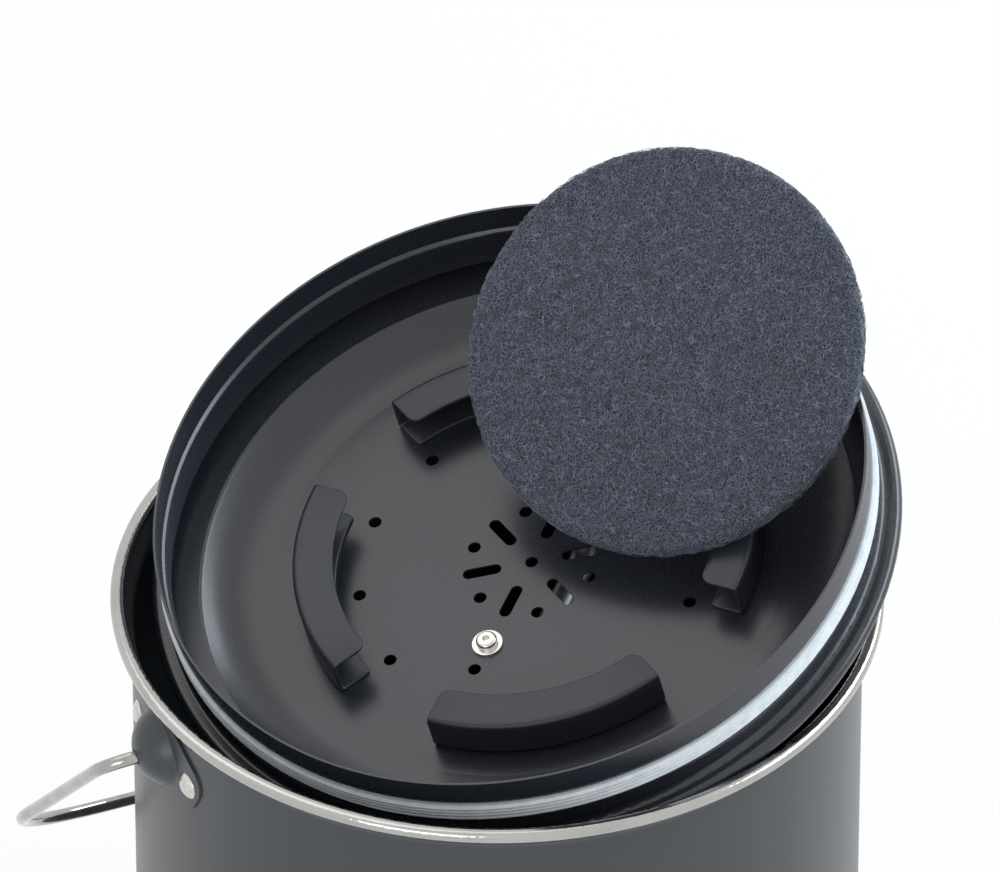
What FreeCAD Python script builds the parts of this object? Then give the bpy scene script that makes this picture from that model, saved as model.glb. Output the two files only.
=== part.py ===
import FreeCAD, Part
import math
import os

V = FreeCAD.Vector
Z_AXIS = V(0, 0, 1)
X_AXIS = V(1, 0, 0)
Y_AXIS = V(0, 1, 0)
ORIGIN = V(0, 0, 0)

# bin, millimetres, base on z = 0
BIN_HEIGHT = 230.0
WALL_OUTER_R = 118.3
SHEET = 0.8
BASE_CORNER_R = 8.0
FLARE_START = 9.5
FLARE_BEND_R = 5.0
LIP_INSET = 2.0
LIP_END_DROP = 2.2
RIM_OVERHANG = 6.7
RIM_WIDTH = 4.5
RIM_HEIGHT = 4.2
RIM_ROUND = 1.7
RIM_SLOT_GAP = 0.05

# ears and rivets
EAR_DROP = 28.5
EAR_SHEET = 0.8
EAR_GAP = 0.05
EAR_RIVET_OFFSET = 20.1
EAR_CORNERS = [(13.0, 15.8, 12.0), (29.3, 4.2, 8.5), (22.6, -8.4, 7.0), (9.0, -13.4, 12.0)]
EAR_BAND_HALF = 30.0
DOME_HEIGHT = 8.05
DOME_BASE_R = 12.8
DOME_RISE = 1.4
DOME_BLEND = 1.0
WIRE_HOLE_GAP = 0.35
RIVET_HEAD_R = 4.5
RIVET_HEAD_H = 1.9
RIVET_SHANK_R = 2.4
RIVET_TAIL_R = 4.0
RIVET_TAIL_H = 1.4
RIVET_HOLE_GAP = 0.05

# wire handle, drawn in its own plane: across is along the pivot, reach is away from it
WIRE_R = 2.2
BAIL_REST_GAP = 0.3
BAIL_LEG_STAND_OFF = 11.0
BAIL_LEG_BEND = 10.5
BAIL_LEG_TAPER = 2.8
BAIL_SHOULDER_REACH = 147.0
BAIL_SHOULDER_BEND = 54.0
BAIL_CROWN_REACH = 180.0
BAIL_CROWN_BEND = 200.0
BAIL_HEAD_STAND_OFF = 2.7
BAIL_HEAD_R = 3.6
BAIL_HEAD_LENGTH = 2.0

# lid in its own frame: z = 0 is the plate's inner face, the open side is up
LID_SHEET = 0.8
LID_DEPTH = 39.0
SKIRT_GAP = 0.5
GROOVE_DEPTH = 1.3
GROOVE_ABOVE_FLANGE = 8.5
GROOVE_WIDTH = 7.5
GROOVE_SLOPE = 1.3
GROOVE_BEND = 1.0
FLANGE_INSET = 1.6
FLANGE_LOW = 7.6
FLANGE_DEPTH = 4.4
FLANGE_BEND = 2.1
SKIRT_BEND = 2.4
CREASE_INSET = 9.0
CREASE_BEND = 1.2
DISH_SLOPE_RUN = 10.4
DISH_BEND = 36.0

# vents and fixing holes, angles from the middle of the first clip
VENT_R = 2.15
SLOT_HALF_WIDTH = 2.0
SLOT_INNER = 12.0
SLOT_OUTER = 20.8
VENT_RING_SMALL = 20.8
VENT_CLIP_MARGIN = 7.5
VENT_LONE_RING = 44.9
SCREW_RING = 34.5
SCREW_ANGLE = 60.0
SCREW_HOLE_GAP = 0.25
VENT_COUNT_SMALL = 6
VENT_COUNT_LARGE = 12

# silicone seal
SEAL_SIDE_GAP = 0.65
SEAL_GAP = 0.05
SEAL_BAND = 1.2
SEAL_PROUD = 1.0
SEAL_RIBS = 4
SEAL_RIB_FLAT = 0.25

# filter clips
CLIP_SHEET = 1.3
CLIP_PLATE_MARGIN = 8.84
CLIP_LIP_DEPTH = 13.5
CLIP_FOOT_DEPTH = 12.0
CLIP_HEIGHT = 14.0
CLIP_SPAN = 60.0
CLIP_BEND = 1.3
CLIP_CORNER_R = 4.0

# screws, washers and the grip on the lid's outside
SCREW_HEAD_R = 3.5
SCREW_HEAD_H = 2.4
SCREW_HEAD_ROUND = 1.2
SCREW_SHANK_R = 1.95
SCREW_LENGTH = 12.0
SCREW_SOCKET_R = 1.35
SCREW_SOCKET_DEPTH = 1.2
WASHER_R = 5.0
WASHER_H = 1.0
GRIP_R = 4.5
GRIP_HEIGHT = 32.0
GRIP_BEND = 12.0
GRIP_BORE_GAP = 0.1
GRIP_BORE_SPARE = 3.8

# filter
FILTER_FIT_GAP = 8.2
FILTER_THICKNESS = 6.0
FILTER_EDGE_ROUND = 1.2

# how the lid lies in the mouth
LID_TILT = 17.81
LID_UPHILL_AZIMUTH = 27.3
LID_SPIN = -47.1
LID_SLIDE = 17.65
LID_SINK = 1.7
LID_REST_GAP = 0.5

# how the filter leans in the lid; its middle is measured in the lid's own frame
FILTER_MIDDLE = (56.26, 37.57, 47.69)
FILTER_REST_GAP = 0.25
FILTER_FACE_AZIMUTH = -140.9
FILTER_FACE_ELEVATION = 45.5

# how far and how finely the lid is lowered to find its seat
SETTLE_RANGE = 6.0
SETTLE_STEPS = 14
SETTLE_OUTLINE_POINTS = 240
SETTLE_TURN_POINTS = 240
EDGE_POINTS = 48


def turned(vector, degrees):
    return FreeCAD.Rotation(Z_AXIS, degrees).multVec(vector)


def rounded_wire(points, radii, closed):
    # straight runs joined by tangent arcs; radii has one value per point
    count = len(points)
    starts = []
    ends = []
    middles = []
    for i in range(count):
        corner = points[i]
        if not closed and i in (0, count - 1) or radii[i] == 0:
            starts.append(corner)
            ends.append(corner)
            middles.append(None)
            continue
        back = (points[i - 1] - corner).normalize()
        ahead = (points[(i + 1) % count] - corner).normalize()
        half = back.getAngle(ahead) / 2
        length = radii[i] / math.tan(half)
        starts.append(corner + back * length)
        ends.append(corner + ahead * length)
        inward = (back + ahead).normalize()
        middles.append(corner + inward * (radii[i] / math.sin(half) - radii[i]))
    edges = []
    for i in range(count):
        if middles[i] is not None:
            edges.append(Part.Arc(starts[i], middles[i], ends[i]).toShape())
        if i < count - 1 or closed:
            tail = starts[(i + 1) % count]
            if ends[i].distanceToPoint(tail) > 1e-6:
                edges.append(Part.makeLine(ends[i], tail))
    return Part.Wire(edges)


def bent_sheet(points, radii, thickness):
    # cross-section of a bent sheet about its middle line, as a face in the XZ plane
    half = thickness / 2
    count = len(points)
    left = []
    right = []
    left_radii = []
    right_radii = []
    for i in range(count):
        ahead = points[min(i + 1, count - 1)] - points[min(i, count - 2)]
        behind = points[max(i, 1)] - points[max(i - 1, 0)]
        ahead.normalize()
        behind.normalize()
        normal_ahead = V(-ahead.z, 0, ahead.x)
        normal_behind = V(-behind.z, 0, behind.x)
        offset = (normal_ahead + normal_behind) * (half / (1 + normal_ahead.dot(normal_behind)))
        left.append(points[i] + offset)
        right.append(points[i] - offset)
        turn = behind.x * ahead.z - behind.z * ahead.x
        change = -half if turn > 0 else half
        left_radii.append(radii[i] + change if radii[i] else 0)
        right_radii.append(radii[i] - change if radii[i] else 0)
    outline = left + right[::-1]
    outline_radii = left_radii + right_radii[::-1]
    return Part.Face(rounded_wire(outline, outline_radii, True))


def revolved(face, degrees=360):
    return face.revolve(ORIGIN, Z_AXIS, degrees)


def rz(pairs):
    return [V(r, 0, z) for r, z in pairs]


def lathe(pairs):
    face = Part.Face(Part.makePolygon(rz(pairs + pairs[:1])))
    return revolved(face)


def tube(wire, radius):
    edge = wire.Edges[0]
    start = edge.valueAt(edge.FirstParameter)
    direction = edge.tangentAt(edge.FirstParameter)
    ring = Part.Wire(Part.makeCircle(radius, start, direction))
    return wire.makePipeShell([ring], True, False)


def as_solid(shape):
    return shape.removeSplitter().Solids[0]


def turned_shape(shape, degrees):
    copy = shape.copy()
    copy.rotate(ORIGIN, Z_AXIS, degrees)
    return copy


# bin body and rim
rim_outer_r = WALL_OUTER_R + RIM_OVERHANG
lip_end_r = rim_outer_r - LIP_INSET
wall_inner_r = WALL_OUTER_R - SHEET
wall_mid_r = WALL_OUTER_R - SHEET / 2
sheet_mid = SHEET / 2
bin_points = rz([
    (0, sheet_mid),
    (wall_mid_r, sheet_mid),
    (wall_mid_r, BIN_HEIGHT - FLARE_START),
    (lip_end_r, BIN_HEIGHT - LIP_END_DROP),
])
bin_radii = [0, BASE_CORNER_R, FLARE_BEND_R, 0]
bin_body = revolved(bent_sheet(bin_points, bin_radii, SHEET))

rim_low = BIN_HEIGHT - RIM_HEIGHT
rim_inner_r = rim_outer_r - RIM_WIDTH
rim_corners = rz([
    (rim_inner_r, rim_low),
    (rim_outer_r, rim_low),
    (rim_outer_r, BIN_HEIGHT),
    (rim_inner_r, BIN_HEIGHT),
])
rim_face = Part.Face(rounded_wire(rim_corners, [RIM_ROUND] * 4, True))
lip_along = (bin_points[3] - bin_points[2]).normalize()
slot_points = [bin_points[2], bin_points[3] + lip_along * RIM_SLOT_GAP]
slot_face = bent_sheet(slot_points, [0, 0], SHEET + 2 * RIM_SLOT_GAP)
# the rounds are turned as splines, which mesh more evenly than ring faces do
rim_edges = []
for edge in rim_face.cut(slot_face).Faces[0].OuterWire.OrderedEdges:
    rounded = edge.Curve.TypeId == "Part::GeomCircle"
    rim_edges.append(edge.toNurbs().Edges[0] if rounded else edge)
rim_trim = revolved(Part.Face(Part.Wire(rim_edges)))

# ears, modelled on the +X side and copied to the left by half a turn
ear_z = BIN_HEIGHT - EAR_DROP
ear_inner_r = WALL_OUTER_R + EAR_GAP
ear_outer_r = ear_inner_r + EAR_SHEET
rivet_angle = math.degrees(math.asin(EAR_RIVET_OFFSET / ear_outer_r))
ear_half = EAR_CORNERS[::-1]
ear_corners = [V(0, across, ear_z + up) for across, up, bend in EAR_CORNERS]
ear_corners += [V(0, -across, ear_z + up) for across, up, bend in ear_half]
ear_bends = [bend for across, up, bend in EAR_CORNERS + ear_half]
ear_outline = rounded_wire(ear_corners, ear_bends, True)
ear_block = Part.Face(ear_outline).extrude(V(rim_outer_r, 0, 0))
ear_band_low = V(0, 0, ear_z - EAR_BAND_HALF)
ear_inner = Part.makeCylinder(ear_inner_r, 2 * EAR_BAND_HALF, ear_band_low)
ear_plate = ear_block.common(Part.makeCylinder(ear_outer_r, 2 * EAR_BAND_HALF, ear_band_low))

dome_apex_r = ear_outer_r + DOME_HEIGHT
dome_r = (DOME_BASE_R ** 2 + DOME_HEIGHT ** 2) / (2 * DOME_HEIGHT)
dome_centre = V(dome_apex_r - dome_r, 0, ear_z + DOME_RISE)
ear_solid = ear_plate.cut(ear_inner)
ear_solid = ear_solid.fuse(Part.makeSphere(dome_r, dome_centre, X_AXIS).cut(ear_inner)).removeSplitter()
dome_edges = []
for edge in ear_solid.Edges:
    surfaces = [face.Surface for face in ear_solid.ancestorsOfType(edge, Part.Face)]
    on_dome = any(surface.TypeId == "Part::GeomSphere" for surface in surfaces)
    on_plate = any(
        surface.TypeId == "Part::GeomCylinder" and abs(surface.Radius - ear_outer_r) < 0.01
        for surface in surfaces
    )
    if on_dome and on_plate:
        dome_edges.append(edge)
ear_solid = ear_solid.makeFillet(DOME_BLEND, dome_edges)
ear_solid = ear_solid.cut(Part.makeSphere(dome_r - EAR_SHEET, dome_centre, X_AXIS))
wire_hole = Part.makeCylinder(WIRE_R + WIRE_HOLE_GAP, dome_apex_r, V(ear_inner_r, 0, ear_z), X_AXIS)
ear_solid = ear_solid.cut(wire_hole)

rivet_hole_r = RIVET_SHANK_R + RIVET_HOLE_GAP


def rivet(degrees):
    # round head outside, shank through ear and wall, flat upset tail inside
    seat = ear_outer_r
    cap_r = (RIVET_HEAD_R ** 2 + RIVET_HEAD_H ** 2) / (2 * RIVET_HEAD_H)
    ball = Part.makeSphere(cap_r, V(seat + RIVET_HEAD_H - cap_r, 0, ear_z))
    head = ball.common(Part.makeCylinder(RIVET_HEAD_R, rim_outer_r, V(0, 0, ear_z), X_AXIS))
    wall = Part.makeCylinder(ear_outer_r, 8 * RIVET_HEAD_R, V(0, 0, ear_z - 4 * RIVET_HEAD_R))
    head = head.cut(wall)
    shank_start = wall_inner_r - RIVET_TAIL_H
    shank_length = ear_outer_r + RIVET_HEAD_H / 2 - shank_start
    shank = Part.makeCylinder(RIVET_SHANK_R, shank_length, V(shank_start, 0, ear_z), X_AXIS)
    tail = Part.makeCylinder(RIVET_TAIL_R, 2 * RIVET_TAIL_H, V(shank_start, 0, ear_z), X_AXIS)
    hollow = Part.makeCylinder(wall_inner_r, 8 * RIVET_HEAD_R, V(0, 0, ear_z - 4 * RIVET_HEAD_R))
    tail = tail.common(hollow)
    body = as_solid(head.fuse([shank, tail]))
    return turned_shape(body, degrees)


def rivet_hole(degrees):
    drill = Part.makeCylinder(rivet_hole_r, rim_outer_r, V(0, 0, ear_z), X_AXIS)
    return turned_shape(drill, degrees)


ear_solid = as_solid(ear_solid.cut([rivet_hole(-rivet_angle), rivet_hole(rivet_angle)]))
ear_right = ear_solid
ear_left = turned_shape(ear_solid, 180)
rivet_turns = {
    "ear_right_rivet_front": -rivet_angle,
    "ear_right_rivet_back": rivet_angle,
    "ear_left_rivet_front": 180 + rivet_angle,
    "ear_left_rivet_back": 180 - rivet_angle,
}
bin_body = as_solid(bin_body.cut([rivet_hole(turn) for turn in rivet_turns.values()]))

# wire handle, hanging with its crown against the back of the wall
leg_across = dome_apex_r + BAIL_LEG_STAND_OFF
shoulder_across = leg_across - BAIL_LEG_TAPER
bail_end_r = WALL_OUTER_R + BAIL_HEAD_STAND_OFF
crown_slope = math.atan((BAIL_CROWN_REACH - BAIL_SHOULDER_REACH) / shoulder_across)
crown_reach = BAIL_CROWN_REACH - BAIL_CROWN_BEND * (1 / math.cos(crown_slope) - 1)
drop = math.acos((WALL_OUTER_R + WIRE_R + BAIL_REST_GAP) / crown_reach)


def bail_point(across, reach):
    return V(across, reach * math.cos(drop), ear_z - reach * math.sin(drop))


bail_points = [
    bail_point(-bail_end_r, 0),
    bail_point(-leg_across, 0),
    bail_point(-shoulder_across, BAIL_SHOULDER_REACH),
    bail_point(0, BAIL_CROWN_REACH),
    bail_point(shoulder_across, BAIL_SHOULDER_REACH),
    bail_point(leg_across, 0),
    bail_point(bail_end_r, 0),
]
bail_radii = [0, BAIL_LEG_BEND, BAIL_SHOULDER_BEND, BAIL_CROWN_BEND, BAIL_SHOULDER_BEND, BAIL_LEG_BEND, 0]
bail_path = rounded_wire(bail_points, bail_radii, False)
bail_heads = []
for side in (-1, 1):
    start = V(side * bail_end_r, 0, ear_z)
    bail_heads.append(Part.makeCylinder(BAIL_HEAD_R, BAIL_HEAD_LENGTH, start, X_AXIS * side))
bail_wire = as_solid(tube(bail_path, WIRE_R).fuse(bail_heads))

# lid shell
lid_mid = LID_SHEET / 2
skirt_outer_r = wall_inner_r - SKIRT_GAP
skirt_mid_r = skirt_outer_r - lid_mid
groove_mid_r = skirt_mid_r - GROOVE_DEPTH
flange_mid_r = rim_outer_r - FLANGE_INSET - lid_mid
flange_high = FLANGE_LOW + FLANGE_DEPTH
groove_low = flange_high + GROOVE_ABOVE_FLANGE
groove_high = groove_low + GROOVE_WIDTH
crease_r = skirt_outer_r - CREASE_INSET
dish_foot_r = crease_r - DISH_SLOPE_RUN
slope_rise = FLANGE_LOW + lid_mid
slope_tangent = math.tan(math.atan(slope_rise / DISH_SLOPE_RUN) / 2)
slope_room = math.hypot(slope_rise, DISH_SLOPE_RUN) - CREASE_BEND * slope_tangent
dish_bend = min(DISH_BEND, slope_room / slope_tangent)
flange_bend = min(FLANGE_BEND, FLANGE_DEPTH / 2)
plate_flat_r = dish_foot_r - dish_bend * slope_tangent
lid_points = rz([
    (0, -lid_mid),
    (dish_foot_r, -lid_mid),
    (crease_r, FLANGE_LOW),
    (flange_mid_r, FLANGE_LOW),
    (flange_mid_r, flange_high),
    (skirt_mid_r, flange_high),
    (skirt_mid_r, groove_low - GROOVE_SLOPE),
    (groove_mid_r, groove_low),
    (groove_mid_r, groove_high),
    (skirt_mid_r, groove_high + GROOVE_SLOPE),
    (skirt_mid_r, LID_DEPTH),
])
lid_radii = [0, dish_bend, CREASE_BEND, flange_bend, flange_bend, SKIRT_BEND]
lid_radii += [GROOVE_BEND] * 4 + [0]
lid_section = bent_sheet(lid_points, lid_radii, LID_SHEET)
lid_shell = revolved(lid_section)


def plate_hole(radius, ring, degrees):
    low = turned(V(ring, 0, -2 * LID_SHEET), degrees)
    return Part.makeCylinder(radius, 3 * LID_SHEET, low)


def plate_slot(degrees):
    low = -2 * LID_SHEET
    length = SLOT_OUTER - SLOT_INNER
    block = Part.makeBox(length, 2 * SLOT_HALF_WIDTH, 3 * LID_SHEET, V(SLOT_INNER, -SLOT_HALF_WIDTH, low))
    ends = []
    for ring in (SLOT_INNER, SLOT_OUTER):
        ends.append(Part.makeCylinder(SLOT_HALF_WIDTH, 3 * LID_SHEET, V(ring, 0, low)))
    return turned_shape(block.fuse(ends), degrees)


screw_angles = (SCREW_ANGLE, SCREW_ANGLE + 180)
screw_hole_r = SCREW_SHANK_R + SCREW_HOLE_GAP
small_step = 360 / VENT_COUNT_SMALL
large_step = 360 / VENT_COUNT_LARGE
vent_ring_large = plate_flat_r - CLIP_PLATE_MARGIN - CLIP_FOOT_DEPTH - VENT_CLIP_MARGIN
vents = [plate_hole(VENT_R, 0, 0)]
for i in range(VENT_COUNT_SMALL):
    vents.append(plate_slot(small_step * i))
    vents.append(plate_hole(VENT_R, VENT_RING_SMALL, small_step * (i + 0.5)))
for i in range(VENT_COUNT_LARGE):
    vents.append(plate_hole(VENT_R, vent_ring_large, large_step * i))
for angle in screw_angles:
    vents.append(plate_hole(VENT_R, VENT_LONE_RING, angle))
    vents.append(plate_hole(screw_hole_r, SCREW_RING, angle))
lid_shell = as_solid(lid_shell.cut(vents))

# seal with ribs around the skirt
seal_inner_r = groove_mid_r + lid_mid + SEAL_GAP
seal_valley_r = seal_inner_r + SEAL_BAND
seal_outer_r = skirt_outer_r + SEAL_PROUD
seal_low = groove_low + SEAL_SIDE_GAP
seal_high = groove_high - SEAL_SIDE_GAP
seal_pitch = (seal_high - seal_low) / SEAL_RIBS
seal_pairs = [(seal_inner_r, seal_low), (seal_valley_r, seal_low)]
for i in range(SEAL_RIBS):
    low = seal_low + i * seal_pitch
    middle = low + seal_pitch / 2
    seal_pairs.append((seal_outer_r, middle - SEAL_RIB_FLAT))
    seal_pairs.append((seal_outer_r, middle + SEAL_RIB_FLAT))
    seal_pairs.append((seal_valley_r, low + seal_pitch))
seal_pairs.append((seal_inner_r, seal_high))
lid_seal = lathe(seal_pairs)

# filter clips
clip_mid = CLIP_SHEET / 2
clip_outer_r = plate_flat_r - CLIP_PLATE_MARGIN
clip_lip_r = clip_outer_r - CLIP_LIP_DEPTH
clip_foot_r = clip_outer_r - CLIP_FOOT_DEPTH
clip_points = rz([
    (clip_foot_r, clip_mid),
    (clip_outer_r - clip_mid, clip_mid),
    (clip_outer_r - clip_mid, CLIP_HEIGHT - clip_mid),
    (clip_lip_r, CLIP_HEIGHT - clip_mid),
])
clip_ring = revolved(bent_sheet(clip_points, [0, CLIP_BEND, CLIP_BEND, 0], CLIP_SHEET), CLIP_SPAN)
clip_ring.rotate(ORIGIN, Z_AXIS, -CLIP_SPAN / 2)
clip_block_face = Part.Face(Part.makePolygon(rz([
    (clip_lip_r, 0),
    (clip_outer_r, 0),
    (clip_outer_r, CLIP_HEIGHT),
    (clip_lip_r, CLIP_HEIGHT),
    (clip_lip_r, 0),
])))
clip_block = revolved(clip_block_face, CLIP_SPAN)
clip_block.rotate(ORIGIN, Z_AXIS, -CLIP_SPAN / 2)
clip_corners = []
for edge in clip_block.Edges:
    box = edge.BoundBox
    upright = box.ZLength > CLIP_HEIGHT / 2
    middle_r = math.hypot(box.Center.x, box.Center.y)
    if upright and middle_r < clip_lip_r + 1:
        clip_corners.append(edge)
clip_block = clip_block.makeFillet(CLIP_CORNER_R, clip_corners)
clip = as_solid(clip_ring.common(clip_block))
clip_turns = {
    "filter_clip_right": 0,
    "filter_clip_back": 90,
    "filter_clip_left": 180,
    "filter_clip_front": 270,
}

# screws, washers and grip
screw_seat = WASHER_H
head_top = screw_seat + SCREW_HEAD_H
screw_head = Part.makeCylinder(SCREW_HEAD_R, SCREW_HEAD_H, V(0, 0, screw_seat))
top_edges = []
for edge in screw_head.Edges:
    if edge.BoundBox.ZMin > head_top - 0.01:
        top_edges.append(edge)
screw_head = screw_head.makeFillet(SCREW_HEAD_ROUND, top_edges)
screw_shank = Part.makeCylinder(SCREW_SHANK_R, SCREW_LENGTH, V(0, 0, screw_seat - SCREW_LENGTH))
socket_points = []
for i in range(7):
    socket_points.append(turned(V(SCREW_SOCKET_R, 0, head_top), 60 * i))
socket = Part.Face(Part.makePolygon(socket_points)).extrude(V(0, 0, -SCREW_SOCKET_DEPTH))
screw = as_solid(screw_head.fuse(screw_shank).cut(socket))
washer = Part.makeCylinder(WASHER_R, WASHER_H).cut(Part.makeCylinder(screw_hole_r, WASHER_H))

grip_top = -LID_SHEET
grip_bore_r = SCREW_SHANK_R + GRIP_BORE_GAP
grip_bore_depth = SCREW_LENGTH - WASHER_H - LID_SHEET + GRIP_BORE_SPARE
grip_points = rz([
    (-SCREW_RING, grip_top),
    (-SCREW_RING, grip_top - GRIP_HEIGHT),
    (SCREW_RING, grip_top - GRIP_HEIGHT),
    (SCREW_RING, grip_top),
])
grip = tube(rounded_wire(grip_points, [0, GRIP_BEND, GRIP_BEND, 0], False), GRIP_R)
grip_bores = []
for side in (-1, 1):
    low = V(side * SCREW_RING, 0, grip_top - grip_bore_depth)
    grip_bores.append(Part.makeCylinder(grip_bore_r, grip_bore_depth, low))
grip = as_solid(grip.cut(grip_bores))

# filter, its flat face up in its own frame
filter_r = clip_outer_r - CLIP_SHEET - FILTER_FIT_GAP
filter_pad = Part.makeCylinder(filter_r, FILTER_THICKNESS, V(0, 0, -FILTER_THICKNESS))
filter_edges = []
for edge in filter_pad.Edges:
    if edge.BoundBox.ZLength < 0.01:
        filter_edges.append(edge)
filter_pad = filter_pad.makeFillet(FILTER_EDGE_ROUND, filter_edges)


def moved(shape, place):
    copy = shape.copy()
    copy.Placement = place.multiply(copy.Placement)
    return copy


# the lid lies tilted in the mouth, on the rim
lid_turn = FreeCAD.Rotation(Z_AXIS, LID_UPHILL_AZIMUTH)
lid_turn = lid_turn.multiply(FreeCAD.Rotation(Y_AXIS, -LID_TILT))
lid_turn = lid_turn.multiply(FreeCAD.Rotation(Z_AXIS, LID_SPIN))
lid_start = turned(V(LID_SLIDE, 0, BIN_HEIGHT - LID_SINK), LID_UPHILL_AZIMUTH)
lid_skin = []
for corner in lid_section.OuterWire.discretize(Number=SETTLE_OUTLINE_POINTS):
    if corner.x < crease_r or corner.z > groove_low:
        continue
    for i in range(SETTLE_TURN_POINTS):
        around = turned(corner, 360 * i / SETTLE_TURN_POINTS)
        lid_skin.append(lid_start + lid_turn.multVec(around))


def rim_gap(radius, height):
    # distance from the rim's rounded section, less than nothing inside it
    across = abs(radius - rim_outer_r + RIM_WIDTH / 2) - RIM_WIDTH / 2 + RIM_ROUND
    upward = abs(height - BIN_HEIGHT + RIM_HEIGHT / 2) - RIM_HEIGHT / 2 + RIM_ROUND
    return math.hypot(max(across, 0), max(upward, 0)) + min(max(across, upward), 0) - RIM_ROUND


lid_low = -SETTLE_RANGE
lid_high = SETTLE_RANGE
for step in range(SETTLE_STEPS):
    lid_shift = (lid_low + lid_high) / 2
    nearest = min(rim_gap(math.hypot(p.x, p.y), p.z + lid_shift) for p in lid_skin)
    if nearest < LID_REST_GAP:
        lid_low = lid_shift
    else:
        lid_high = lid_shift
lid_place = FreeCAD.Placement(lid_start + Z_AXIS * lid_high, lid_turn)


def on_lid(shape, degrees, ring):
    copy = shape.copy()
    copy.translate(V(ring, 0, 0))
    copy.rotate(ORIGIN, Z_AXIS, degrees)
    return moved(copy, lid_place)


# the filter leans on the lip of a clip and on the edge of the lid
filter_turn = FreeCAD.Rotation(Z_AXIS, FILTER_FACE_AZIMUTH)
filter_turn = filter_turn.multiply(FreeCAD.Rotation(Y_AXIS, 90 - FILTER_FACE_ELEVATION))
filter_normal = filter_turn.multVec(Z_AXIS)
filter_centre = lid_place.multVec(V(*FILTER_MIDDLE))
clips = {name: on_lid(clip, turn, 0) for name, turn in clip_turns.items()}
seat_points = []
for shape in clips.values():
    for edge in shape.Edges:
        seat_points += edge.discretize(Number=EDGE_POINTS)
for radius in (skirt_outer_r - LID_SHEET, skirt_outer_r):
    for i in range(SETTLE_TURN_POINTS):
        around = turned(V(radius, 0, LID_DEPTH), 360 * i / SETTLE_TURN_POINTS)
        seat_points.append(lid_place.multVec(around))
behind = []
for point in seat_points:
    offset = point - filter_centre
    depth = offset.dot(filter_normal)
    if (offset - filter_normal * depth).Length < filter_r:
        behind.append(depth)
filter_centre += filter_normal * (max(behind) + FILTER_THICKNESS + FILTER_REST_GAP)
filter_place = FreeCAD.Placement(filter_centre, filter_turn)

parts = {
    "bin_body": bin_body,
    "rim_trim": rim_trim,
    "ear_left": ear_left,
    "ear_right": ear_right,
    "bail_wire": bail_wire,
    "lid_shell": on_lid(lid_shell, 0, 0),
    "lid_seal": on_lid(lid_seal, 0, 0),
    "lid_handle": on_lid(grip, SCREW_ANGLE, 0),
    "handle_screw_far": on_lid(screw, screw_angles[0], SCREW_RING),
    "handle_screw_near": on_lid(screw, screw_angles[1], SCREW_RING),
    "handle_washer_far": on_lid(washer, screw_angles[0], SCREW_RING),
    "handle_washer_near": on_lid(washer, screw_angles[1], SCREW_RING),
    "filter_pad": moved(filter_pad, filter_place),
}
for name, turn in rivet_turns.items():
    parts[name] = rivet(turn)
parts.update(clips)

os.makedirs("parts", exist_ok=True)
for name, shape in parts.items():
    shape.exportStep("parts/" + name + ".step")
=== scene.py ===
import bpy
import math
import random
from mathutils import Matrix, Vector


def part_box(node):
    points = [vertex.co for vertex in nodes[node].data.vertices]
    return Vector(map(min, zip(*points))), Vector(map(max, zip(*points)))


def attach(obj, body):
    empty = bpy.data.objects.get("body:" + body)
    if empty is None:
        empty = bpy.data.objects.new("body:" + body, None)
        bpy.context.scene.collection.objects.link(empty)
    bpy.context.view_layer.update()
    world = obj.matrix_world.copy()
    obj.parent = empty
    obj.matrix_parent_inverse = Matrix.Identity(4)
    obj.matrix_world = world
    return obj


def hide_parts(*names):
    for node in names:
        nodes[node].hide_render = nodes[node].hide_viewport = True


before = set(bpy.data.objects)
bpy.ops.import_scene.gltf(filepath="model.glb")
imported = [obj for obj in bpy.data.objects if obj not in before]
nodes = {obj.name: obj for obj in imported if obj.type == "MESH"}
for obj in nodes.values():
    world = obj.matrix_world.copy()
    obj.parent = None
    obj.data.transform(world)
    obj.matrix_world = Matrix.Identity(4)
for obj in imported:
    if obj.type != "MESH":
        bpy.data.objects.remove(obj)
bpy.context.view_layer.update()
mm = 0.001
grainHeight = 0.03 * mm  # height of the finest grain in a coat or a polish
scuffHeight = 0.1 * mm
toneEnds = (0.3, 0.7)  # noise values at which a finish is fully dark or light
print("frame loaded:", len(nodes), "nodes")


def letGo():
    bpy.ops.object.select_all(action="DESELECT")
    bpy.context.view_layer.objects.active = None


letGo()


# shader maths as plain expressions
class Wire:
    def __init__(self, finish, socket):
        self.finish = finish
        self.socket = socket

    def maths(self, operation, first, second):
        return self.finish.add("ShaderNodeMath", {"operation": operation}, {0: first, 1: second})

    def __add__(self, other):
        return self.maths("ADD", self, other)

    def __radd__(self, other):
        return self.maths("ADD", other, self)

    def __sub__(self, other):
        return self.maths("SUBTRACT", self, other)

    def __rsub__(self, other):
        return self.maths("SUBTRACT", other, self)

    def __mul__(self, other):
        return self.maths("MULTIPLY", self, other)

    def __rmul__(self, other):
        return self.maths("MULTIPLY", other, self)


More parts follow.
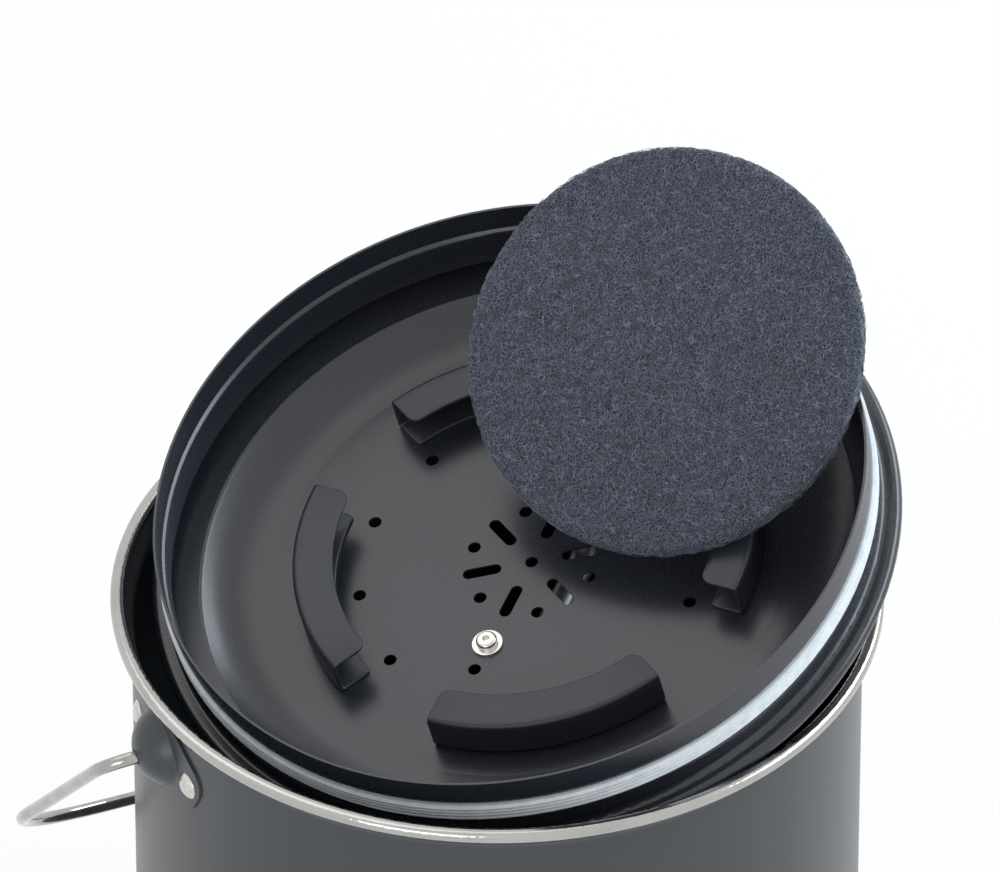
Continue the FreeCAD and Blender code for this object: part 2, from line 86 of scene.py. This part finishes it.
class Finish:
    def __init__(self, owner):
        owner.use_nodes = True
        self.owner = owner
        self.tree = owner.node_tree
        self.shader = self.tree.nodes.get("Principled BSDF")
        self.surfaceEnd = self.tree.nodes.get("Material Output") or self.tree.nodes.get("World Output")

    def add(self, kind, settings, sockets, output=0):
        made = self.tree.nodes.new(kind)
        for key, value in settings.items():
            if key == "stops":
                for place, colour in value[len(made.color_ramp.elements):]:
                    made.color_ramp.elements.new(place)
                for element, (place, colour) in zip(made.color_ramp.elements, value):
                    element.position = place
                    element.color = (*colour, 1)
            else:
                setattr(made, key, value)
        self.feed(made, sockets)
        return Wire(self, made.outputs[output])

    def feed(self, node, sockets):
        for key, value in sockets.items():
            if isinstance(value, Wire):
                self.tree.links.new(value.socket, node.inputs[key])
            else:
                node.inputs[key].default_value = value

    def shade(self, sockets):
        self.feed(self.shader, sockets)

    def place(self):
        return self.add("ShaderNodeTexCoord", {}, {}, "Object")

    def noise(self, vector, scale, detail=3, roughness=0.5):
        sockets = {"Vector": vector, "Scale": scale, "Detail": detail, "Roughness": roughness}
        return self.add("ShaderNodeTexNoise", {}, sockets)

    def ramp(self, value, stops):
        return self.add("ShaderNodeValToRGB", {"stops": stops}, {"Fac": value})

    def tones(self, value, dark, light):
        return self.ramp(value, [(toneEnds[0], dark), (toneEnds[1], light)])

    def bump(self, height, strength, distance):
        sockets = {"Height": height, "Strength": strength, "Distance": distance}
        return self.add("ShaderNodeBump", {}, sockets)

    def around(self):
        # radius and height round the upright axis, for marks that run round a piece
        parts = self.add("ShaderNodeSeparateXYZ", {}, {"Vector": self.place()}).socket.node
        flat = self.add("ShaderNodeCombineXYZ", {}, {
            "X": Wire(self, parts.outputs["X"]),
            "Y": Wire(self, parts.outputs["Y"]),
        })
        radius = self.add("ShaderNodeVectorMath", {"operation": "LENGTH"}, {0: flat}, "Value")
        return radius, Wire(self, parts.outputs["Z"])


def newFinish(name):
    return Finish(bpy.data.materials.new(name))


# satin coat on sheet steel, with a little metal in it
def coatFinish(name, look):
    finish = newFinish(name)
    place = finish.place()
    grain = finish.noise(place, look["grainScale"], detail=2)
    cloud = finish.noise(place, look["cloudScale"])
    tone = grain * look["grainShare"] + cloud * (1 - look["grainShare"])
    finish.shade({
        "Base Color": finish.tones(tone, look["darkTone"], look["lightTone"]),
        "Roughness": tone * look["roughSpread"] + look["rough"],
        "Metallic": look["metal"],
        "Specular IOR Level": look["specular"],
        "Normal": finish.bump(grain, look["grainDepth"], grainHeight),
    })
    return finish.owner


binLook = {
    "grainScale": 1400, "cloudScale": 9, "grainShare": 0.6, "grainDepth": 0.25,
    "darkTone": (0.036, 0.042, 0.048), "lightTone": (0.048, 0.055, 0.062),
    "rough": 0.30, "roughSpread": 0.10, "metal": 0.12, "specular": 0.6,
}
lidLook = {
    "grainScale": 1600, "cloudScale": 12, "grainShare": 0.6, "grainDepth": 0.2,
    "darkTone": (0.015, 0.0178, 0.0250), "lightTone": (0.022, 0.0255, 0.0340),
    "rough": 0.23, "roughSpread": 0.08, "metal": 0.0, "specular": 0.62,
}
clipLook = {
    "grainScale": 900, "cloudScale": 60, "grainShare": 0.5, "grainDepth": 0.5,
    "darkTone": (0.015, 0.0180, 0.0260), "lightTone": (0.024, 0.0275, 0.0360),
    "rough": 0.32, "roughSpread": 0.16, "metal": 0.0, "specular": 0.5,
}
binCoat = coatFinish("binCoat", binLook)
lidCoat = coatFinish("lidCoat", lidLook)
clipCoat = coatFinish("clipCoat", clipLook)

# bare polished steel, with fine marks that run round the rim
rimLook = {
    "lineScale": 5200, "cloudScale": 60, "lineShare": 0.6, "lineDepth": 0.12,
    "darkTone": (0.38, 0.375, 0.36), "lightTone": (0.52, 0.515, 0.495),
    "rough": 0.07, "roughSpread": 0.12,
}


def rimFinish():
    finish = newFinish("rimSteel")
    radius, height = finish.around()
    across = finish.add("ShaderNodeCombineXYZ", {}, {"X": radius, "Y": height})
    lines = finish.noise(across, rimLook["lineScale"], detail=2)
    cloud = finish.noise(finish.place(), rimLook["cloudScale"])
    mark = lines * rimLook["lineShare"] + cloud * (1 - rimLook["lineShare"])
    finish.shade({
        "Base Color": finish.tones(mark, rimLook["darkTone"], rimLook["lightTone"]),
        "Metallic": 1,
        "Roughness": mark * rimLook["roughSpread"] + rimLook["rough"],
        "Normal": finish.bump(lines, rimLook["lineDepth"], grainHeight),
    })
    return finish.owner


# polished wire, screws, washers and rivets, and the satin grip, whose steel is painted darker as shade
# under the lid
def polishedFinish(name, look):
    finish = newFinish(name)
    scuff = finish.noise(finish.place(), look["scuffScale"], detail=4)
    finish.shade({
        "Base Color": finish.tones(scuff, look["darkTone"], look["lightTone"]),
        "Metallic": 1,
        "Roughness": scuff * look["roughSpread"] + look["rough"],
        "Normal": finish.bump(scuff, look["scuffDepth"], scuffHeight),
    })
    return finish.owner


wireLook = {
    "scuffScale": 120, "scuffDepth": 0.06, "rough": 0.05, "roughSpread": 0.08,
    "darkTone": (0.32, 0.31, 0.295), "lightTone": (0.45, 0.44, 0.42),
}
boltLook = {
    "scuffScale": 400, "scuffDepth": 0.06, "rough": 0.14, "roughSpread": 0.16,
    "darkTone": (0.56, 0.54, 0.50), "lightTone": (0.72, 0.70, 0.66),
}
# the grip's steel tone is darkened as painted shade, so it shows no glints through the vent slots
gripPaintedShadeLook = {
    "scuffScale": 200, "scuffDepth": 0.06, "rough": 0.34, "roughSpread": 0.16,
    "darkTone": (0.20, 0.20, 0.205), "lightTone": (0.30, 0.30, 0.305),
}
rimSteel = rimFinish()
wireSteel = polishedFinish("wireSteel", wireLook)
boltSteel = polishedFinish("boltSteel", boltLook)
gripPaintedShadeSteel = polishedFinish("gripPaintedShadeSteel", gripPaintedShadeLook)

# pale silicone of the seal
sealLook = {
    "cloudScale": 220, "darkTone": (0.70, 0.75, 0.79), "lightTone": (0.84, 0.88, 0.91),
    "rough": 0.42, "soften": 0.15, "softenReach": 2 * mm,
}


def sealFinish():
    finish = newFinish("sealSilicone")
    cloud = finish.noise(finish.place(), sealLook["cloudScale"])
    finish.shade({
        "Base Color": finish.tones(cloud, sealLook["darkTone"], sealLook["lightTone"]),
        "Roughness": sealLook["rough"],
        "Subsurface Weight": sealLook["soften"],
        "Subsurface Radius": (sealLook["softenReach"],) * 3,
    })
    return finish.owner


sealSilicone = sealFinish()

finishOf = {
    "bin_body": binCoat, "ear_left": binCoat, "ear_right": binCoat,
    "rim_trim": rimSteel, "bail_wire": wireSteel, "lid_handle": gripPaintedShadeSteel,
    "lid_shell": lidCoat, "lid_seal": sealSilicone,
}
for name, node in nodes.items():
    if "clip" in name:
        finish = clipCoat
    else:
        finish = finishOf.get(name, boltSteel)
    node.data.materials.clear()
    node.data.materials.append(finish)
print("finishes on the nodes")


# the clips' sharp sheet edges are softened a little, as on pressed and coated steel
clipEdge = {
    "merge": 0.002 * mm, "flat": math.radians(1),
    "width": 0.45 * mm, "segments": 2, "angle": math.radians(35),
}


def applyAll(piece):
    bpy.context.view_layer.objects.active = piece
    for modifier in list(piece.modifiers):
        bpy.ops.object.modifier_apply(modifier=modifier.name)


def softenClip(name, look):
    letGo()
    piece = nodes[name].copy()
    piece.data = nodes[name].data.copy()
    piece.name = name + "Soft"
    piece.parent = None
    for key in list(piece.keys()):
        del piece[key]
    bpy.context.scene.collection.objects.link(piece)
    piece.select_set(True)
    bpy.context.view_layer.objects.active = piece
    bpy.ops.object.mode_set(mode="EDIT")
    bpy.ops.mesh.select_all(action="SELECT")
    bpy.ops.mesh.remove_doubles(threshold=look["merge"])
    bpy.ops.mesh.dissolve_limited(angle_limit=look["flat"])
    bpy.ops.object.mode_set(mode="OBJECT")
    edge = piece.modifiers.new("edge", "BEVEL")
    edge.width = look["width"]
    edge.segments = look["segments"]
    edge.limit_method = "ANGLE"
    edge.angle_limit = look["angle"]
    applyAll(piece)
    bpy.ops.object.shade_smooth_by_angle(angle=look["angle"])
    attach(piece, "lid")
    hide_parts(name)


for name in sorted(nodes):
    if name.startswith("filter_clip"):
        softenClip(name, clipEdge)
print("clip edges softened")


# felt filter: a lumpy disc; its colour is fibre tone and specks, with painted shade darkening the gaps
# between its strands
filterPad = {
    "radius": 66.7 * mm, "thickness": 5.6 * mm, "normal": (-0.54394, -0.44205, 0.71325),
    "sides": 128, "edgeRound": 1.2 * mm, "edgeSteps": 3, "voxel": 1.1 * mm,
    "lumpSize": 5 * mm, "lumpDepth": 0.5 * mm, "fuzzSize": 1.3 * mm, "fuzzDepth": 0.55 * mm,
}
feltLook = {
    "warpScale": 260, "shiftScale": 300, "shift": 3 * mm, "strandScale": 1000, "speckScale": 1500,
    "strandShare": 1.8, "speckShare": 0.7, "warpShare": 0.2, "depth": 0.9, "height": 0.6 * mm,
    # colour stops run from the light strands to the near-black gaps; the dark end is painted shade between
    # the strands
    "tones": [
        (0.30, (0.225, 0.258, 0.345)), (0.52, (0.088, 0.106, 0.155)), (0.78, (0.014, 0.018, 0.030)),
    ],
    "rough": 0.82, "sheen": 0.25,
}


def feltFinish(look):
    finish = newFinish("charcoalFelt")
    place = finish.place()
    warp = finish.noise(place, look["warpScale"], detail=2)
    drift = finish.add("ShaderNodeTexNoise", {}, {"Vector": place, "Scale": look["shiftScale"]}, "Color")
    reach = (look["shift"],) * 3
    shifted = finish.add("ShaderNodeVectorMath", {"operation": "MULTIPLY_ADD"}, {
        0: drift,
        1: reach,
        2: place,
    })
    strands = finish.add("ShaderNodeTexVoronoi", {"feature": "DISTANCE_TO_EDGE"}, {
        "Vector": shifted,
        "Scale": look["strandScale"],
    })
    speck = finish.noise(place, look["speckScale"], roughness=0.7)
    # strands light, cell middles dark: fibre tone and specks, plus painted shade in the gaps between
    # strands
    depth = strands * look["strandShare"] + speck * look["speckShare"] + warp * look["warpShare"]
    finish.shade({
        "Base Color": finish.ramp(depth, look["tones"]),
        "Roughness": look["rough"],
        "Sheen Weight": look["sheen"],
        "Normal": finish.bump(depth, look["depth"], look["height"]),
    })
    return finish.owner


fibreLook = {
    "cloudScale": 420, "rough": 0.5,
    "tones": [(0.38, (0.036, 0.044, 0.068)), (0.64, (0.27, 0.305, 0.395))],
}


def fibreFinish(look):
    finish = newFinish("feltFibre")
    cloud = finish.noise(finish.place(), look["cloudScale"], roughness=0.6)
    finish.shade({"Base Color": finish.ramp(cloud, look["tones"]), "Roughness": look["rough"]})
    return finish.owner


padLow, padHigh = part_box("filter_pad")
padCentre = (Vector(padLow) + Vector(padHigh)) / 2
padTurn = Vector(filterPad["normal"]).to_track_quat("Z", "Y").to_matrix().to_4x4()
padPlace = Matrix.Translation(padCentre) @ padTurn


def lumps(piece, name, size, depth):
    cloud = bpy.data.textures.new(name, "CLOUDS")
    cloud.noise_scale = size
    cloud.noise_depth = 1
    modifier = piece.modifiers.new(name, "DISPLACE")
    modifier.texture = cloud
    modifier.texture_coords = "LOCAL"
    modifier.strength = depth
    modifier.mid_level = 0.5


def makePad(look):
    letGo()
    bpy.ops.mesh.primitive_cylinder_add(
        vertices=look["sides"], radius=look["radius"], depth=look["thickness"],
    )
    pad = bpy.context.object
    pad.name = "filterFelt"
    bpy.ops.object.mode_set(mode="EDIT")
    bpy.ops.mesh.select_all(action="SELECT")
    bpy.ops.mesh.bevel(offset=look["edgeRound"], segments=look["edgeSteps"], affect="EDGES")
    bpy.ops.object.mode_set(mode="OBJECT")
    remesh = pad.modifiers.new("grain", "REMESH")
    remesh.mode = "VOXEL"
    remesh.voxel_size = look["voxel"]
    lumps(pad, "padLumps", look["lumpSize"], look["lumpDepth"])
    lumps(pad, "padFuzz", look["fuzzSize"], look["fuzzDepth"])
    applyAll(pad)
    bpy.ops.object.shade_smooth()
    pad.data.transform(padPlace)
    pad.data.materials.append(feltFinish(feltLook))
    return pad


# loose strands on both faces and round the edge
feltFibres = {
    "count": 7400, "frontOfTen": 7, "strandRadius": 0.085 * mm, "length": (1.4 * mm, 4.2 * mm),
    "spread": 0.985, "curl": 0.7, "rise": 0.55 * mm, "riseShare": (0.1, 1), "sink": 0.1 * mm,
    "edgeCount": 800, "edgeHalf": (1.5 * mm, 3.5 * mm), "edgeLean": 0.8, "edgeLevel": 0.7,
    "edgeRiseShare": (0.2, 1.1), "edgeSink": 0.15 * mm, "steps": (-1, -0.33, 0.33, 1), "seed": 11,
}


def addFibre(curve, points):
    spline = curve.splines.new("POLY")
    spline.points.add(len(points) - 1)
    for point, place in zip(spline.points, points):
        point.co = (*place, 1)


def faceFibre(disc, look, dice, index):
    # a curled strand that lies on the front or the back of the pad
    face = disc["thickness"] / 2
    radius = disc["radius"] * math.sqrt(dice.random()) * look["spread"]
    turn = dice.uniform(0, 2 * math.pi)
    middle = Vector((radius * math.cos(turn), radius * math.sin(turn), 0))
    way = dice.uniform(0, 2 * math.pi)
    along = Vector((math.cos(way), math.sin(way), 0))
    aside = Vector((-along.y, along.x, 0))
    half = dice.uniform(*look["length"]) / 2
    curl = dice.uniform(-look["curl"], look["curl"]) * half
    rise = dice.uniform(*look["riseShare"]) * look["rise"]
    side = 1 if index % 10 < look["frontOfTen"] else -1
    points = []
    for step in look["steps"]:
        bend = 1 - step * step
        place = middle + along * (step * half) + aside * (curl * bend)
        place.z = side * (face + rise * bend - look["sink"])
        if place.xy.length > disc["radius"]:
            place.xy = place.xy.normalized() * disc["radius"]
        points.append(place)
    return points


def edgeFibre(disc, look, dice):
    # a strand that lies round the pad's edge
    face = disc["thickness"] / 2
    turn = dice.uniform(0, 2 * math.pi)
    half = dice.uniform(*look["edgeHalf"])
    lean = dice.uniform(-1, 1) * face * look["edgeLean"]
    level = dice.uniform(-look["edgeLevel"], look["edgeLevel"]) * face
    rise = dice.uniform(*look["edgeRiseShare"]) * look["rise"]
    points = []
    for step in look["steps"]:
        reach = disc["radius"] + rise * (1 - step * step) - look["edgeSink"]
        spot = turn + step * half / disc["radius"]
        height = max(-face, min(face, level + lean * step))
        points.append(Vector((reach * math.cos(spot), reach * math.sin(spot), height)))
    return points


def makeFibres(disc, look):
    dice = random.Random(look["seed"])
    curve = bpy.data.curves.new("filterFibres", "CURVE")
    curve.dimensions = "3D"
    curve.bevel_depth = look["strandRadius"]
    curve.bevel_resolution = 0
    for i in range(look["count"]):
        addFibre(curve, faceFibre(disc, look, dice, i))
    for i in range(look["edgeCount"]):
        addFibre(curve, edgeFibre(disc, look, dice))
    strands = bpy.data.objects.new("filterFibres", curve)
    bpy.context.scene.collection.objects.link(strands)
    letGo()
    strands.select_set(True)
    bpy.context.view_layer.objects.active = strands
    bpy.ops.object.convert(target="MESH")
    strands = bpy.context.object
    strands.data.transform(padPlace)
    strands.data.materials.clear()
    strands.data.materials.append(fibreFinish(fibreLook))
    return strands


pad = makePad(filterPad)
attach(pad, "filter")
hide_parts("filter_pad")
strands = makeFibres(filterPad, feltFibres)
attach(strands, "filter")
print("felt filter:", len(pad.data.polygons), "faces,", len(strands.data.polygons), "fibre faces")

# stage: pale floor, soft lamps and a white surround
stageLook = {
    "floorSize": 14, "floorLevel": -0.5 * mm, "floorTone": (0.86, 0.86, 0.86, 1), "floorRough": 0.9,
    "floorWhite": 0.85, "white": (1, 1, 1, 1), "surround": 0.60, "surroundTone": (0.97, 0.985, 1, 1),
    "lampAim": (0, 0, 0.2),
}
lamps = [
    {
        "name": "topSoftbox", "from": (-0.35, 0.95, 2.05), "size": (1.7, 1.5),
        "power": 6.5, "tint": (1, 0.99, 0.97),
    },
    {
        "name": "windowSide", "from": (1.75, -0.05, 1.45), "size": (2.4, 1.0),
        "power": 42, "tint": (0.80, 0.91, 1),
    },
    {
        "name": "frontFill", "from": (-1.5, -1.5, 0.8), "size": (1.2, 1.2),
        "power": 9, "tint": (1, 1, 1),
    },
]


def seenDirectly(finish):
    # 1 where the camera, a reflection or clear material looks straight at the background
    paths = finish.add("ShaderNodeLightPath", {}, {}).socket.node
    seen = Wire(finish, paths.outputs["Is Camera Ray"]) + Wire(finish, paths.outputs["Is Transmission Ray"])
    seen = seen + Wire(finish, paths.outputs["Is Glossy Ray"])
    return finish.add("ShaderNodeMath", {"operation": "MINIMUM"}, {0: seen, 1: 1.0})


def makeFloor(look):
    letGo()
    bpy.ops.mesh.primitive_plane_add(size=look["floorSize"], location=(0, 0, look["floorLevel"]))
    floor = bpy.context.object
    floor.name = "floor"
    finish = newFinish("paleFloor")
    finish.shade({
        "Base Color": look["floorTone"],
        "Roughness": look["floorRough"],
        "Specular IOR Level": 0.0,
    })
    glow = finish.add("ShaderNodeEmission", {}, {"Color": look["white"], "Strength": 1.0})
    plain = Wire(finish, finish.shader.outputs[0])
    share = seenDirectly(finish) * look["floorWhite"]
    mixed = finish.add("ShaderNodeMixShader", {}, {0: share, 1: plain, 2: glow})
    finish.feed(finish.surfaceEnd, {"Surface": mixed})
    floor.data.materials.append(finish.owner)


def makeSurround(look):
    world = bpy.data.worlds.new("surround")
    bpy.context.scene.world = world
    finish = Finish(world)
    lit = finish.add("ShaderNodeBackground", {}, {
        "Color": look["surroundTone"],
        "Strength": look["surround"],
    })
    white = finish.add("ShaderNodeBackground", {}, {"Color": look["white"], "Strength": 1.0})
    mixed = finish.add("ShaderNodeMixShader", {}, {0: seenDirectly(finish), 1: lit, 2: white})
    finish.feed(finish.surfaceEnd, {"Surface": mixed})


def makeLamp(look):
    light = bpy.data.lights.new(look["name"], "AREA")
    light.shape = "RECTANGLE"
    light.size, light.size_y = look["size"]
    light.energy = look["power"]
    light.color = look["tint"]
    lamp = bpy.data.objects.new(look["name"], light)
    bpy.context.scene.collection.objects.link(lamp)
    lamp.location = look["from"]
    aim = Vector(stageLook["lampAim"]) - lamp.location
    lamp.rotation_euler = aim.to_track_quat("-Z", "Y").to_euler()


makeFloor(stageLook)
makeSurround(stageLook)
for lampLook in lamps:
    makeLamp(lampLook)
print("stage lit")

# camera: in front, a little to the left and well above
cameraLook = {
    "rimCentre": (0, 0, 0.230), "distance": 4.75, "azimuth": -23.7, "elevation": 38.68,
    "focalPixels": 14711, "imageWidth": 1000, "imageHeight": 872, "rimPixel": (497.25, 588.57),
    "sensor": 36,
}


def makeCamera(look):
    turn = math.radians(look["azimuth"])
    lift = math.radians(look["elevation"])
    back = Vector((math.sin(turn) * math.cos(lift), -math.cos(turn) * math.cos(lift), math.sin(lift)))
    right = Vector((math.cos(turn), math.sin(turn), 0))
    up = back.cross(right)
    aside = (look["imageWidth"] / 2 - look["rimPixel"][0]) / look["focalPixels"]
    above = (look["rimPixel"][1] - look["imageHeight"] / 2) / look["focalPixels"]
    aim = right * aside + up * above - back
    data = bpy.data.cameras.new("photoView")
    data.sensor_width = look["sensor"]
    data.lens = look["focalPixels"] * data.sensor_width / look["imageWidth"]
    camera = bpy.data.objects.new("photoView", data)
    bpy.context.scene.collection.objects.link(camera)
    camera.location = Vector(look["rimCentre"]) + back * look["distance"]
    camera.rotation_euler = aim.to_track_quat("-Z", "Y").to_euler()
    bpy.context.scene.camera = camera


makeCamera(cameraLook)
bpy.context.scene.view_settings.view_transform = "Standard"
print("camera set")
